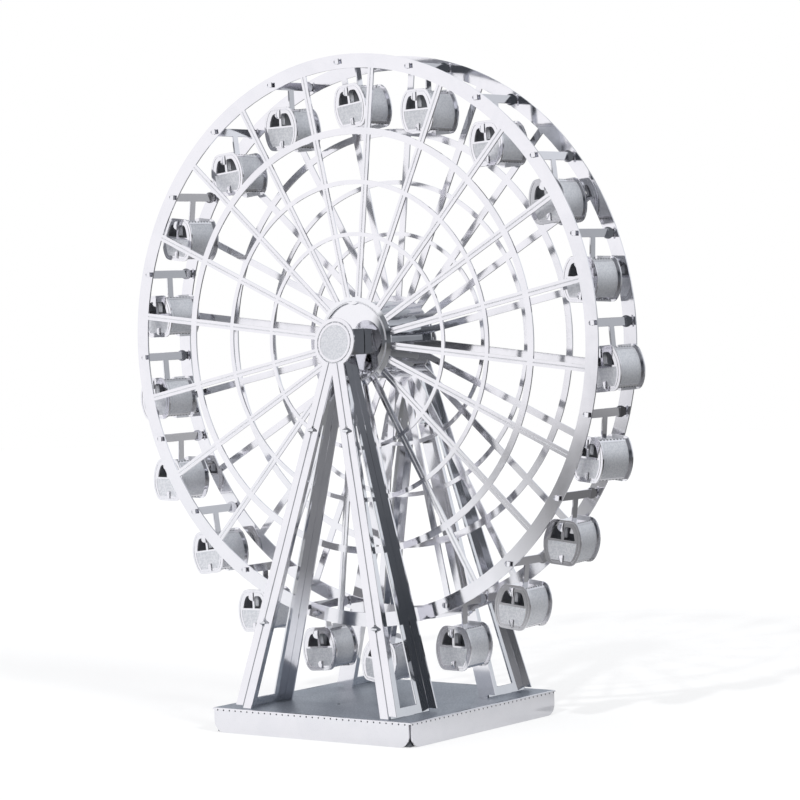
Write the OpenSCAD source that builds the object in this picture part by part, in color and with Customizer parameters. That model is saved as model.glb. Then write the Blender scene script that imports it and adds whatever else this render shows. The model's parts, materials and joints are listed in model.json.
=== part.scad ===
// Desk-top ferris wheel folded and slotted together from thin etched steel sheet.
// Frame: origin on the ground under the middle of the wheel, +Z up, the axle along Y,
// -Y is the front. All lengths in millimetres.

/* [Sheet] */
// Thickness of the steel sheet
sheet_t = 0.3; // [0.2:0.05:0.4]
// Clearance all round a tab in its slot
slot_clear = 0.05; // [0.02:0.01:0.1]
// Gap between an edge and the sheet that it meets
seat_gap = 0.02; // [0.01:0.01:0.05]
// How far a tab stands out of its slot
tab_out = 0.6; // [0.3:0.05:0.9]
// Length of a tab along its edge
tab_w = 1.3; // [0.8:0.1:2]

/* [Wheel discs] */
// Radius of the circle of hanger pins
pin_circle_r = 47.5; // [44:0.5:60]
// Width of the rim band
rim_w = 2.4; // [1.8:0.1:3.4]
// Clear distance between the two discs
wheel_gap = 11.4; // [10:0.2:16]
// Number of gondolas, and of spokes in a disc
gondola_count = 20; // [12:1:20]
// Turn of the wheel at rest, in degrees
wheel_phase = -3.1; // [-9:0.1:9]
// Width of a spoke
spoke_w = 1.15; // [0.7:0.05:1.6]
// Width of the outer inner ring
outer_ring_w = 1.15; // [0.6:0.05:1.8]
// Width of the middle inner ring
middle_ring_w = 0.75; // [0.5:0.05:1.4]
// Width of the innermost ring
inner_ring_w = 0.65; // [0.5:0.05:1.2]

/* [Hub] */
// Radius of the hub flange of a disc
flange_r = 7.5; // [7:0.1:9]
// Radius of the hub drum and of its caps
drum_r = 6.6; // [6:0.1:6.8]
// Length of a bent tab along the cap's edge
cap_tab_w = 2.1; // [1.2:0.1:3]
// How far a bent tab lies out on the flange
cap_tab_reach = 0.65; // [0.3:0.05:0.9]

/* [Axle] */
// Outer radius of the axle tube
axle_r = 1.5; // [1.1:0.05:1.8]
// Running clearance between the axle tube and the hub caps
run_clear = 0.05; // [0.02:0.01:0.1]
// Width of the square axle box
box_w = 4.4; // [4.2:0.1:5]
// Gap between an axle box and the hub cap
box_gap = 0.1; // [0.05:0.05:0.4]

/* [Hangers] */
// Radius of a hanger pin
pin_r = 0.4; // [0.3:0.05:0.6]
// Running clearance of a hanger pin in the rim
pin_clear = 0.05; // [0.02:0.01:0.1]
// Radius of a pin's head
pin_head_r = 0.65; // [0.6:0.05:0.9]
// Thickness of a pin's head
pin_head_t = 0.45; // [0.3:0.05:0.8]
// Side play between a hanger and the discs
side_play = 0.1; // [0.05:0.05:0.3]
// Height of the cross bar
bar_h = 1.4; // [1:0.1:1.8]
// Width of the stem
stem_w = 1.4; // [1:0.1:2]
// Drop from the pins to the cabin roof
roof_drop = 4.15; // [3:0.05:4.6]
// Length of the stem's tab inside the cabin
stem_tab_l = 0.9; // [0.5:0.1:1.5]

/* [Cabins] */
// Greatest width of an end panel
cabin_w = 6.8; // [5.5:0.1:7.6]
// Height of an end panel
cabin_h = 7.5; // [6:0.1:8]
// Mean width of an end panel's flat top and bottom
flat_w = 4.35; // [3.5:0.05:5]
// How far the belly lies below the middle
belly_drop = 0.15; // [0:0.05:0.4]
// How far an end panel stands proud of the barrel
panel_lip = 0.4; // [0.2:0.05:0.6]
// Gap between an end panel and the wheel disc
cabin_side_gap = 1.9; // [1:0.1:2.6]
// Frame left round the windows
window_frame = 0.95; // [0.6:0.05:1.3]
// Height of the window sill above the panel's foot
sill_h = 4.2; // [3.2:0.1:4.8]
// Width of the bar between the windows
mullion_w = 0.45; // [0.3:0.05:0.8]

/* [Supports] */
// Radius of the round head of an A-frame
head_r = 4.2; // [4:0.1:5]
// Width of a leg at the head
leg_top_w = 2.7; // [2:0.1:3.2]
// Width of a leg at the foot
leg_foot_w = 3.45; // [2.6:0.05:4]
// Distance between the left and the right feet
foot_spread = 30.8; // [26:0.2:40]
// Gap between the hub cap and an inner frame
stand_gap = 2.25; // [1.6:0.05:3]
// Depth between inner frame and A-frame at the axle
head_depth = 3.15; // [2.9:0.05:5]
// How much further apart they stand at the feet
foot_splay = 8.15; // [6:0.05:11]
// Height that a leg's outer half ends above the tray
foot_relief = 0.5; // [0.2:0.05:1]
// Width of a side panel's upright strips at the top
strip_top_w = 1.95; // [1.4:0.05:2.2]
// Width of a side panel's upright strips at the foot
strip_foot_w = 3.05; // [2.4:0.05:3.8]
// Height of a side panel's bottom strip
strip_base_h = 1.5; // [1:0.1:2.5]

/* [Tray] */
// Height of the tray
tray_h = 4.2; // [3.2:0.1:7]
// How far the tray runs past the feet at the sides
tray_side = 5.4; // [3:0.1:9]
// How far the tray runs past the feet at front and back
tray_front = 1.45; // [1.2:0.05:5]
// Radius of the lower corners of a flange
flange_corner_r = 2; // [0.5:0.1:2.6]
// Gap left at the tray's upright corners
corner_gap = 0.4; // [0.4:0.05:0.8]
// Clear height between the lowest cabin and the tray
cabin_clear = 3.05; // [2:0.05:6]

/* [Hidden] */
$fn = 96;

// Radii of the inner rings, as shares of the pin circle's radius
outer_ring_share = 0.751;
middle_ring_share = 0.569;
inner_ring_share = 0.383;
// Heights of the leg tabs, as shares of the way from the axle to the foot
leg_tab_shares = [0.238, 0.764];
// Places of the cap's bent tabs round the hub, in degrees
cap_tab_angles = [0, 90, 180, 270];
// How far each cabin hangs off plumb at rest, in degrees, as its twisted tabs happen to hold it
hang_tilts = [-8, -2, -4, -7, 2, -5, 5, 7, 7, 2, 11, -4, -1, -8, 1, -4, -2, 6, -7, -2];
// How far each cabin is turned about its hanger's stem, in degrees
cabin_turns = [0, 0, 0, 4, 0, 0, -9, 7, 4, 5, 7, 7, 2, 2, 0, 0, -2, 0, 3, 4];

// One overrun for every cut
cut = sheet_t * 4;
step = 360 / gondola_count;

// Distances from the middle of the wheel, along the axle
disc_in_y = wheel_gap / 2;
disc_out_y = disc_in_y + sheet_t;
cap_out_y = disc_out_y + sheet_t;
inner_in_y = cap_out_y + stand_gap;
inner_out_y = inner_in_y + sheet_t;
head_out_y = inner_out_y + head_depth;
foot_out_y = head_out_y + foot_splay;

// Gondola sizes
bar_half = disc_in_y - side_play;
head_in_y = disc_out_y + side_play;
cabin_half = disc_in_y - cabin_side_gap;
side_sag = (cabin_w - flat_w) / 2;
side_r = (cabin_h * cabin_h / 4 + side_sag * side_sag) / (2 * side_sag);
cabin_drop = roof_drop - panel_lip + cabin_h;

// Heights and angles of the supports
axle_h = tray_h + cabin_clear + cabin_drop + pin_circle_r;
leg_rise = axle_h - tray_h;
foot_x = foot_spread / 2;
leg_angle = atan(foot_x / leg_rise);
leg_l = leg_rise / cos(leg_angle);
lean = atan(foot_splay / leg_rise);
lean_l = leg_rise / cos(lean);
lean_t = sheet_t / cos(lean);
panel_top = (box_w / 2 + sheet_t) / cos(leg_angle);
tray_w = foot_spread + 2 * tray_side;
tray_d = 2 * (foot_out_y + tray_front);

function pin_angle(i) = wheel_phase + step * i;
function two_digits(i) = str(i < 10 ? "0" : "", i);
function hanger_name(i) = str("gondola_", two_digits(i + 1), "_hanger");
function cabin_name(i) = str("gondola_", two_digits(i + 1), "_cabin");
// Distance from the middle to the A-frame's outer face, a length down the leg line
function reach_at(down) = head_out_y + foot_splay * down / leg_l;
// Width of a side panel's upright strip, a length down the leg line
function strip_at(down) = strip_top_w + (strip_foot_w - strip_top_w) * down / leg_l;

// Helpers

// Stands a flat drawing up in the XZ plane, its sheet lying from y towards +Y
module stand_up(y, t = sheet_t) {
    translate([0, y + t, 0]) rotate([90, 0, 0]) linear_extrude(t) children();
}

// Repeats a front piece for the rear
module rear() { mirror([0, 1, 0]) children(); }

// Everything below the top of the tray
module below_tray() {
    translate([-tray_w, -tray_d, -axle_h]) cube([2 * tray_w, 2 * tray_d, axle_h + tray_h]);
}

// Places a child drawn along the leg line, with its own X down the line, for one side
module along_leg(side) {
    mirror([side < 0 ? 1 : 0, 0, 0])
        translate([0, 0, axle_h]) rotate([0, 90 - leg_angle, 0]) children();
}

// Places a child drawn upright at the axle on the front A-frame's leaning plane
module leaning() {
    translate([0, -head_out_y, axle_h]) rotate([-lean, 0, 0]) children();
}

module ring(r, w) {
    difference() {
        circle(r + w / 2);
        circle(r - w / 2);
    }
}

// Supports

// Two legs in the XZ plane, the axle at the origin, the feet at a depth
module leg_pair(foot_depth) {
    half_top = leg_top_w / 2;
    outer = foot_x + leg_foot_w / 2;
    inner = foot_x - leg_foot_w / 2;
    crotch = foot_depth * half_top / (inner + half_top);
    polygon([
        [-half_top, 0], [-outer, -foot_depth], [-inner, -foot_depth], [0, -crotch],
        [inner, -foot_depth], [outer, -foot_depth], [half_top, 0]
    ]);
}

// Takes the outer half of each foot up from the tray
module foot_reliefs(foot_depth) {
    for (side = [-1, 1])
        translate([side > 0 ? foot_x : -foot_x - leg_foot_w, -foot_depth - cut])
            square([leg_foot_w, foot_relief + cut]);
}

// Tabs that a front side panel pushes through the A-frame and the inner frame, grown for their slots
module leg_tabs(side, grow = 0) {
    t = sheet_t + 2 * grow;
    w = tab_w + 2 * grow;
    along_leg(side) for (share = leg_tab_shares) {
        down = share * leg_l;
        strip = strip_at(down);
        translate([down - w / 2, -reach_at(down) - tab_out, -t / 2])
            cube([w, tab_out + lean_t + strip / 2, t]);
        translate([down - w / 2, -inner_out_y - strip / 2, -t / 2])
            cube([w, strip / 2 + sheet_t + tab_out, t]);
    }
}

// Tab that a front side panel pushes through the tray's top, grown for its slot
module foot_tab(side, grow = 0) {
    t = sheet_t + 2 * grow;
    w = 2 * tab_w + 2 * grow;
    middle = (foot_out_y + inner_out_y) / 2;
    along_leg(side)
        translate([leg_l - strip_base_h / 2, -middle - w / 2, -t / 2])
            cube([strip_base_h / 2 + sheet_t + tab_out, w, t]);
}

module front_a_frame() {
    color("gainsboro") difference() {
        leaning() stand_up(0) difference() {
            union() {
                circle(head_r);
                leg_pair(lean_l + sheet_t);
            }
            foot_reliefs(lean_l);
        }
        below_tray();
        for (side = [-1, 1]) leg_tabs(side, slot_clear);
    }
}

module rear_a_frame() { rear() front_a_frame(); }

// Its legs meet under the axle box and carry it
module front_inner_frame() {
    color("lightgray") difference() {
        translate([0, 0, axle_h]) stand_up(-inner_out_y) difference() {
            leg_pair(leg_rise);
            foot_reliefs(leg_rise);
            translate([-box_w, -box_w / 2 - seat_gap]) square(2 * box_w);
        }
        for (side = [-1, 1]) leg_tabs(side, slot_clear);
    }
}

module rear_inner_frame() { rear() front_inner_frame(); }

// Four-sided outline between the leaning and the upright sheet, drawn in by an inset at each end
module panel_shape(from, to, inset_from, inset_to) {
    front = lean_t + seat_gap;
    back = inner_out_y + seat_gap;
    polygon([
        [from, -reach_at(from) + front + inset_from], [from, -back - inset_from],
        [to, -back - inset_to], [to, -reach_at(to) + front + inset_to]
    ]);
}

// Tapering window frame, with the window starting where the strips leave room for it
module panel_outline() {
    depth_top = head_depth - lean_t;
    widening = foot_splay - 2 * (strip_foot_w - strip_top_w);
    meeting = leg_l * (2 * strip_top_w + sheet_t - depth_top) / widening;
    open_from = max(panel_top + strip_top_w, meeting);
    open_to = leg_l - strip_base_h;
    difference() {
        panel_shape(panel_top, leg_l + sheet_t, 0, 0);
        panel_shape(open_from, open_to, strip_at(open_from), strip_at(open_to));
    }
}

module front_panel(side) {
    color("slategray") {
        difference() {
            along_leg(side) linear_extrude(sheet_t, center = true) panel_outline();
            below_tray();
        }
        leg_tabs(side);
        foot_tab(side);
    }
}

module front_left_panel() { front_panel(-1); }
module front_right_panel() { front_panel(1); }
module rear_left_panel() { rear() front_panel(-1); }
module rear_right_panel() { rear() front_panel(1); }

// Base tray

// Flange drawn in the XZ plane, its lower corners rounded
module flange_outline(w) {
    r = flange_corner_r;
    translate([-w / 2, r]) square([w, tray_h - r]);
    translate([-w / 2 + r, 0]) square([w - 2 * r, tray_h]);
    for (x = [-w / 2 + r, w / 2 - r]) translate([x, r]) circle(r);
}

module base_tray() {
    color("silver") difference() {
        union() {
            translate([-tray_w / 2, -tray_d / 2, tray_h - sheet_t]) cube([tray_w, tray_d, sheet_t]);
            for (turn = [0, 180]) rotate(turn) {
                stand_up(-tray_d / 2) flange_outline(tray_w - 2 * corner_gap);
                rotate(90) stand_up(-tray_w / 2) flange_outline(tray_d - 2 * corner_gap);
            }
        }
        for (side = [-1, 1]) {
            foot_tab(side, slot_clear);
            rear() foot_tab(side, slot_clear);
        }
    }
}

// Axle

// Square tube between the leaning A-frame and the hub, its inner end closed round the axle tube
module front_axle_box() {
    start = cap_out_y + box_gap;
    end = head_out_y + sheet_t;
    color("slategray") difference() {
        translate([0, 0, axle_h]) difference() {
            stand_up(-end, end - start) square(box_w, center = true);
            stand_up(-end - cut, end + cut - start - sheet_t) square(box_w - 2 * sheet_t, center = true);
            stand_up(-end, end) circle(axle_r + seat_gap);
        }
        leaning() translate([-box_w, -box_w, -box_w]) cube([2 * box_w, box_w + sheet_t, 2 * box_w]);
    }
}

module rear_axle_box() { rear() front_axle_box(); }

module axle_tube() {
    half = head_out_y - lean_t - sheet_t - axle_r * tan(lean);
    color("silver") translate([0, 0, axle_h]) stand_up(-half, 2 * half) difference() {
        circle(axle_r);
        circle(axle_r - sheet_t);
    }
}

// Wheel

// One etched disc, its middle at the origin: rim, rings, spokes and hub flange
module disc_outline() {
    rim_in_r = pin_circle_r - rim_w / 2;
    difference() {
        union() {
            ring(pin_circle_r, rim_w);
            ring(pin_circle_r * outer_ring_share, outer_ring_w);
            ring(pin_circle_r * middle_ring_share, middle_ring_w);
            ring(pin_circle_r * inner_ring_share, inner_ring_w);
            circle(flange_r);
            for (i = [0 : gondola_count - 1]) rotate(-pin_angle(i + 1 / 2))
                translate([-spoke_w / 2, flange_r - spoke_w]) square([spoke_w, rim_in_r - flange_r + 2 * spoke_w]);
        }
        circle(axle_r + 2 * sheet_t);
        for (i = [0 : gondola_count - 1]) rotate(-pin_angle(i))
            translate([0, pin_circle_r]) circle(pin_r + pin_clear);
    }
}

module front_wheel_disc() {
    color("whitesmoke") translate([0, 0, axle_h]) stand_up(-disc_out_y) disc_outline();
}

module rear_wheel_disc() {
    color("whitesmoke") translate([0, 0, axle_h]) stand_up(disc_in_y) disc_outline();
}

module hub_drum() {
    color("lightslategray") translate([0, 0, axle_h]) stand_up(-disc_in_y, wheel_gap) difference() {
        circle(drum_r);
        circle(drum_r - sheet_t);
    }
}

module front_hub_cap() {
    color("silver") translate([0, 0, axle_h]) {
        stand_up(-cap_out_y) difference() {
            circle(drum_r);
            circle(axle_r + run_clear);
        }
        for (angle = cap_tab_angles) rotate([0, angle, 0])
            stand_up(-cap_out_y) translate([-cap_tab_w / 2, drum_r - cap_tab_reach])
                square([cap_tab_w, 2 * cap_tab_reach]);
    }
}

module rear_hub_cap() { rear() front_hub_cap(); }

// Gondolas

// Moves a child drawn with its pins on the Y axis to a gondola's place
module hang(i) {
    angle = pin_angle(i);
    tilt = hang_tilts[i % len(hang_tilts)];
    translate([pin_circle_r * sin(angle), 0, axle_h + pin_circle_r * cos(angle)])
        rotate([0, tilt, 0]) children();
}

module hanger(i) {
    tab = stem_w - 2 * sheet_t;
    color("lightgray") hang(i) {
        translate([-sheet_t / 2, -bar_half, -bar_h / 2]) cube([sheet_t, 2 * bar_half, bar_h]);
        translate([-sheet_t / 2, -stem_w / 2, -roof_drop]) cube([sheet_t, stem_w, roof_drop]);
        translate([-sheet_t / 2, -tab / 2, -roof_drop - stem_tab_l]) cube([sheet_t, tab, stem_tab_l + sheet_t]);
        for (end = [0, 1]) mirror([0, end, 0]) {
            stand_up(-head_in_y - pin_head_t, head_in_y + pin_head_t - bar_half + sheet_t) circle(pin_r);
            stand_up(-head_in_y - pin_head_t, pin_head_t) circle(pin_head_r);
        }
    }
}

// Barrel outline in the XZ plane with its middle at the origin, drawn in by an inset
module barrel_outline(inset) {
    shift = side_r - cabin_w / 2;
    intersection() {
        side_lens(shift, side_r - inset);
        square([cabin_w, cabin_h - 2 * inset], center = true);
    }
}

// The lens shape where the two side arcs overlap
module side_lens(shift, r) {
    translate([0, -belly_drop]) intersection() {
        translate([-shift, 0]) circle(r);
        translate([shift, 0]) circle(r);
    }
}

module end_panel() {
    difference() {
        barrel_outline(0);
        difference() {
            barrel_outline(window_frame);
            translate([-cabin_w, -cabin_h]) square([2 * cabin_w, sill_h + cabin_h / 2]);
            square([mullion_w, cabin_h], center = true);
        }
    }
}

module cabin(i) {
    tab = stem_w - 2 * sheet_t;
    barrel_half = cabin_half - sheet_t - seat_gap;
    color("darkgray") hang(i) difference() {
        rotate(cabin_turns[i % len(cabin_turns)]) translate([0, 0, -roof_drop + panel_lip - cabin_h / 2]) {
            stand_up(-barrel_half, 2 * barrel_half) difference() {
                barrel_outline(panel_lip);
                barrel_outline(panel_lip + sheet_t);
            }
            for (end = [0, 1]) mirror([0, end, 0]) stand_up(-cabin_half) end_panel();
        }
        translate([-sheet_t / 2 - slot_clear, -tab / 2 - slot_clear, -roof_drop - stem_tab_l])
            cube([sheet_t + 2 * slot_clear, tab + 2 * slot_clear, stem_tab_l + sheet_t]);
    }
}

// Drawing

base_tray();
front_a_frame();
rear_a_frame();
front_inner_frame();
rear_inner_frame();
front_left_panel();
front_right_panel();
rear_left_panel();
rear_right_panel();
front_axle_box();
rear_axle_box();
axle_tube();
front_wheel_disc();
rear_wheel_disc();
hub_drum();
front_hub_cap();
rear_hub_cap();
for (i = [0 : gondola_count - 1]) hanger(i);
for (i = [0 : gondola_count - 1]) cabin(i);
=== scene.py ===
"""Dresses a desk-top ferris wheel that is slotted together from thin etched steel sheet.

Meshes are worked out in millimetres in the part's own frame, and scaled to metres when a piece is
finished. The origin lies on the ground under the wheel, +Z is up and the axle runs along Y.
"""

import json
import logging
from dataclasses import dataclass
from enum import Enum
from math import atan2, cos, hypot, pi, radians, sin, sqrt, tau
from typing import Callable, Sequence

import bmesh
import bpy
from bpy.types import Material, Mesh, MeshPolygon, Node, NodeSocket, NodeTree
from mathutils import Matrix, Vector

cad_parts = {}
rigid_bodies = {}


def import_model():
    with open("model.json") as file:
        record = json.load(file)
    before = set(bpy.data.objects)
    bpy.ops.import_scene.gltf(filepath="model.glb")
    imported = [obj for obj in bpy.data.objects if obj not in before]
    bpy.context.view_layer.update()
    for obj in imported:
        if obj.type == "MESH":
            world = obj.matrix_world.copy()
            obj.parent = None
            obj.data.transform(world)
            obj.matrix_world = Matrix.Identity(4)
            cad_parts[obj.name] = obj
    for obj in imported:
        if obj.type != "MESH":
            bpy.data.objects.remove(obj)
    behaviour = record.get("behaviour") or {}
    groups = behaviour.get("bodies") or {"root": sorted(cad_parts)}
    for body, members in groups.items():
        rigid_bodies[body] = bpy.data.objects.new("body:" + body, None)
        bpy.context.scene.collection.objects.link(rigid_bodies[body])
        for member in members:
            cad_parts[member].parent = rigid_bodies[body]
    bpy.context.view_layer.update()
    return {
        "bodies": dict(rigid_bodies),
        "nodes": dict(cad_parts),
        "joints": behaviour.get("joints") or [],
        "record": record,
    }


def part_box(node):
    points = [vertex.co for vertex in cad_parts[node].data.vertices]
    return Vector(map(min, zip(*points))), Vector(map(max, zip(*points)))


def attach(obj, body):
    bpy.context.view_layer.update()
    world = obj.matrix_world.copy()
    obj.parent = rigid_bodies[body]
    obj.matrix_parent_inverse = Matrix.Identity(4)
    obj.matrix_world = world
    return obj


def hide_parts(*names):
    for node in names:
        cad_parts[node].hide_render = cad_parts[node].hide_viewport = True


LOG = logging.getLogger("ferris_wheel")
METRES = 0.001
SIDES = (-1, 1)
Colour = tuple[float, float, float]
Point = tuple[float, float]
Axis = tuple[float, float, float]
Band = tuple[float, float, Point]


class End(Enum):
    """The two ends of the axle, with the sign that mirrors a front piece to its place."""

    FRONT = 1
    REAR = -1

    @property
    def word(self) -> str:
        """The end's name as node names spell it."""
        return self.name.lower()

    @property
    def place(self) -> Matrix:
        """Takes a piece drawn for the front to this end."""
        return Matrix.Diagonal((1, self.value, 1, 1))


@dataclass(frozen=True)
class Sheet:
    """What every piece of sheet shares, in millimetres and degrees.

    Attributes:
        close: places nearer than this count as one place.
        facing: how squarely a face has to look along an axis.
        merge: corners nearer than this are joined.
        flat: facets that turn less than this are joined.
        sharp: edges that turn more than this are rounded.
        smooth: edges that turn less than this are shaded over.
        smooth_area: faces larger than this are shaded flat.
    """

    thick: float = 0.3
    rounding: float = 0.04
    line_w: float = 0.22
    line_depth: float = 0.06
    field_depth: float = 0.04
    overrun: float = 0.5
    close: float = 0.01
    facing: float = 0.99
    merge: float = 0.002
    flat: float = 0.5
    sharp: float = 30.0
    smooth: float = 28.0
    smooth_area: float = 2.0


SHEET = Sheet()


@dataclass
class Solid:
    """A closed mesh in millimetres.

    Attributes:
        points: its corners.
        faces: the corners of each face.
    """

    points: list[Vector]
    faces: list[tuple[int, ...]]

    def moved(self, matrix: Matrix) -> "Solid":
        """The same solid in another place."""
        return Solid([matrix @ p for p in self.points], self.faces)


def spin(degrees: float, axis: str = "Y") -> Matrix:
    """A turn about an axis, in degrees."""
    return Matrix.Rotation(radians(degrees), 4, axis)


def stacked(rings: Sequence[Sequence[Vector]], closed: bool = False) -> Solid:
    """A solid through rings of equal count.

    Args:
        rings: the rings in order.
        closed: joins the last ring to the first. Otherwise a face closes either end.

    Returns:
        The solid.
    """
    rows, count = len(rings), len(rings[0])
    faces = [
        tuple((row + up) % rows * count + (i + on) % count for up, on in ((0, 0), (0, 1), (1, 1), (1, 0)))
        for row in range(rows if closed else rows - 1) for i in range(count)
    ]
    if not closed:
        faces += [tuple(range(start, start + count)) for start in (0, (rows - 1) * count)]
    return Solid([Vector(p) for ring in rings for p in ring], faces)


def prism(outline: Sequence[Point], low: float, high: float) -> Solid:
    """An outline in the XZ plane, drawn out along Y from one place to another."""
    return stacked([[Vector((x, y, z)) for x, z in outline] for y in (low, high)])


def block(one: Sequence[float], other: Sequence[float]) -> Solid:
    """A rectangular block between two opposite corners."""
    outline = [(one[0], one[2]), (other[0], one[2]), (other[0], other[2]), (one[0], other[2])]
    return prism(outline, one[1], other[1])


def circle(radius: float, count: int) -> list[Point]:
    """Points round the origin, from +X towards +Z."""
    return [(radius * cos(a), radius * sin(a)) for a in (tau * i / count for i in range(count))]


def rounded(outline: Sequence[Point], corners: set[int], reach: float, steps: int = 4) -> list[Point]:
    """Rounds some corners of an outline.

    Args:
        outline: its corners.
        corners: which of them are rounded.
        reach: how far from each corner the rounding starts.
        steps: points across each rounding.

    Returns:
        The rounded outline.
    """
    count = len(outline)
    places = [Vector(point) for point in outline]
    dropped = {i for i in range(count) if i not in corners
               and any((places[i] - places[c]).length < reach for c in corners)}
    made = []
    for i in (i for i in range(count) if i not in dropped):
        if i not in corners:
            made.append(outline[i])
            continue
        here = places[i]
        before, after = (next(places[(i + way * k) % count] for k in range(1, count)
                              if (i + way * k) % count not in dropped) for way in SIDES)
        start = here + (before - here).normalized() * reach
        end = here + (after - here).normalized() * reach
        for share in (k / (steps - 1) for k in range(steps)):
            made.append(tuple(start.lerp(here, share).lerp(here.lerp(end, share), share)))
    return made


def turned(profile: Sequence[Point], count: int = 128) -> Solid:
    """A closed profile turned about the Y axis.

    Args:
        profile: (radius, y) corners of the section, in order round it.
        count: steps round the axis.

    Returns:
        The solid.
    """
    turns = (tau * i / count for i in range(count))
    return stacked([[Vector((r * cos(a), y, r * sin(a))) for r, y in profile] for a in turns], closed=True)


def hoop(inner: float, outer: float, low: float, high: float, count: int = 128) -> Solid:
    """A square-edged ring about the Y axis, between two radii and two places along the axis."""
    return turned([(inner, low), (outer, low), (outer, high), (inner, high)], count)


def strip(path: Sequence[Point], width: float, thick: float) -> Solid:
    """A bent strip of sheet, its path in the YZ plane and its width along X.

    Args:
        path: (y, z) points of its middle.
        width: its width.
        thick: its thickness.

    Returns:
        The solid.
    """
    rings = []
    middles = [Vector((0, y, z)) for y, z in path]
    side = Vector((width / 2, 0, 0))
    for i, middle in enumerate(middles):
        along = (middles[min(i + 1, len(path) - 1)] - middles[max(i - 1, 0)]).normalized()
        out = Vector((0, -along.z, along.y)) * thick / 2
        rings.append([middle - side - out, middle + side - out, middle + side + out, middle - side + out])
    return stacked(rings)


def round_edges(mesh: Mesh, width: float, segments: int = 1,
                chosen: Callable[[bmesh.types.BMEdge], bool] | None = None) -> None:
    """Rounds a mesh's edges, in place.

    Args:
        mesh: what is rounded.
        width: how far from the edge the rounding starts.
        segments: faces across it.
        chosen: says which edges, or every sharp edge.
    """
    shape = bmesh.new()
    shape.from_mesh(mesh)
    pick = chosen or (lambda edge: edge.calc_face_angle(0.0) > radians(SHEET.sharp))
    edges = [edge for edge in shape.edges if len(edge.link_faces) == 2 and pick(edge)]
    bmesh.ops.bevel(shape, geom=edges, offset=width, segments=segments, profile=0.5,
                    affect="EDGES", clamp_overlap=True)
    shape.to_mesh(mesh)
    shape.free()


def joined(name: str, meshes: Sequence[Mesh]) -> Mesh:
    """One mesh of several, each face keeping its material.

    Args:
        name: the new mesh's name.
        meshes: what it is made of.

    Returns:
        The mesh.
    """
    whole = bpy.data.meshes.new(name)
    shape = bmesh.new()
    for mesh in meshes:
        slots = [slot_of(whole, material) for material in mesh.materials]
        first = len(shape.faces)
        shape.from_mesh(mesh)
        shape.faces.ensure_lookup_table()
        for face in shape.faces[first:]:
            face.material_index = slots[face.material_index]
    shape.to_mesh(whole)
    shape.free()
    return whole


def slot_of(mesh: Mesh, material: Material) -> int:
    """The number of a material's slot on a mesh, which gains one where it has none."""
    if material not in list(mesh.materials):
        mesh.materials.append(material)
    return list(mesh.materials).index(material)


def new_object(name: str, data: bpy.types.ID) -> bpy.types.Object:
    """Makes an object of some data and puts it in the scene."""
    made = bpy.data.objects.new(name, data)
    bpy.context.scene.collection.objects.link(made)
    return made


def span(node: str) -> tuple[Vector, Vector]:
    """Lowest and highest corner of a CAD node, in millimetres."""
    low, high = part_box(node)
    return low / METRES, high / METRES


class Layout:
    """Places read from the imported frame, in millimetres.

    Attributes:
        axle_h: height of the axle.
        drum_r: radius of the hub drum.
        disc_out_y: distance from the middle to a disc's outer face.
        disc_in_y: distance from the middle to a disc's inner face.
        cap_out_y: distance from the middle to a cap's outer face.
        inner_out_y: distance from the middle to an inner frame's outer face.
        foot_out_y: distance from the middle to an A-frame's foot.
        tray: the tray's lowest and highest corner.
        pins: each gondola's body name with its pin, its tilt and its turn in radians.
        pin_r: radius of the circle of pins.
        phase: how far the first pin is turned from the top, in radians.
    """

    END_SHARE = 0.5  # corners past this share of a cabin's half length lie at its end

    def __init__(self, frame: dict) -> None:
        """Reads the places.

        Args:
            frame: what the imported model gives.
        """
        low, high = span("hub_drum")
        self.axle_h = (low.z + high.z) / 2
        self.drum_r = high.x
        self.disc_out_y, self.disc_in_y = (-corner.y for corner in span("front_wheel_disc"))
        self.cap_out_y, self.inner_out_y, self.foot_out_y = (
            -span("front_" + node)[0].y for node in ("hub_cap", "inner_frame", "a_frame"))
        self.tray = span("base_tray")
        self.pins = {
            joint["child"]: (Vector(joint["pos_m"]) / METRES, *self._hang(joint))
            for joint in frame["joints"] if joint["child"].startswith("gondola")
        }
        pin = Vector(frame["joints"][1]["pos_m"]) / METRES
        self.pin_r = hypot(pin.x, pin.z - self.axle_h)
        self.phase = atan2(pin.x, pin.z - self.axle_h)

    def at_axle(self, end: End) -> Matrix:
        """Takes a piece drawn about the origin for the front to an end of the axle."""
        return Matrix.Translation((0, 0, self.axle_h)) @ end.place

    def _hang(self, joint: dict) -> Point:
        """How far a cabin hangs off plumb and is turned about its stem, measured on its node."""
        pin = Vector(joint["pos_m"])
        corners = [v.co for v in bpy.data.objects[joint["child"] + "_cabin"].data.vertices]
        middle = sum(corners, Vector()) / len(corners)
        reach = self.END_SHARE * max(p.y for p in corners)
        front, rear = (sum(end, Vector()) / len(end)
                       for end in ([p for p in corners if side * p.y > reach] for side in SIDES))
        return atan2(pin.x - middle.x, pin.z - middle.z), atan2(front.x - rear.x, rear.y - front.y)


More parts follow.
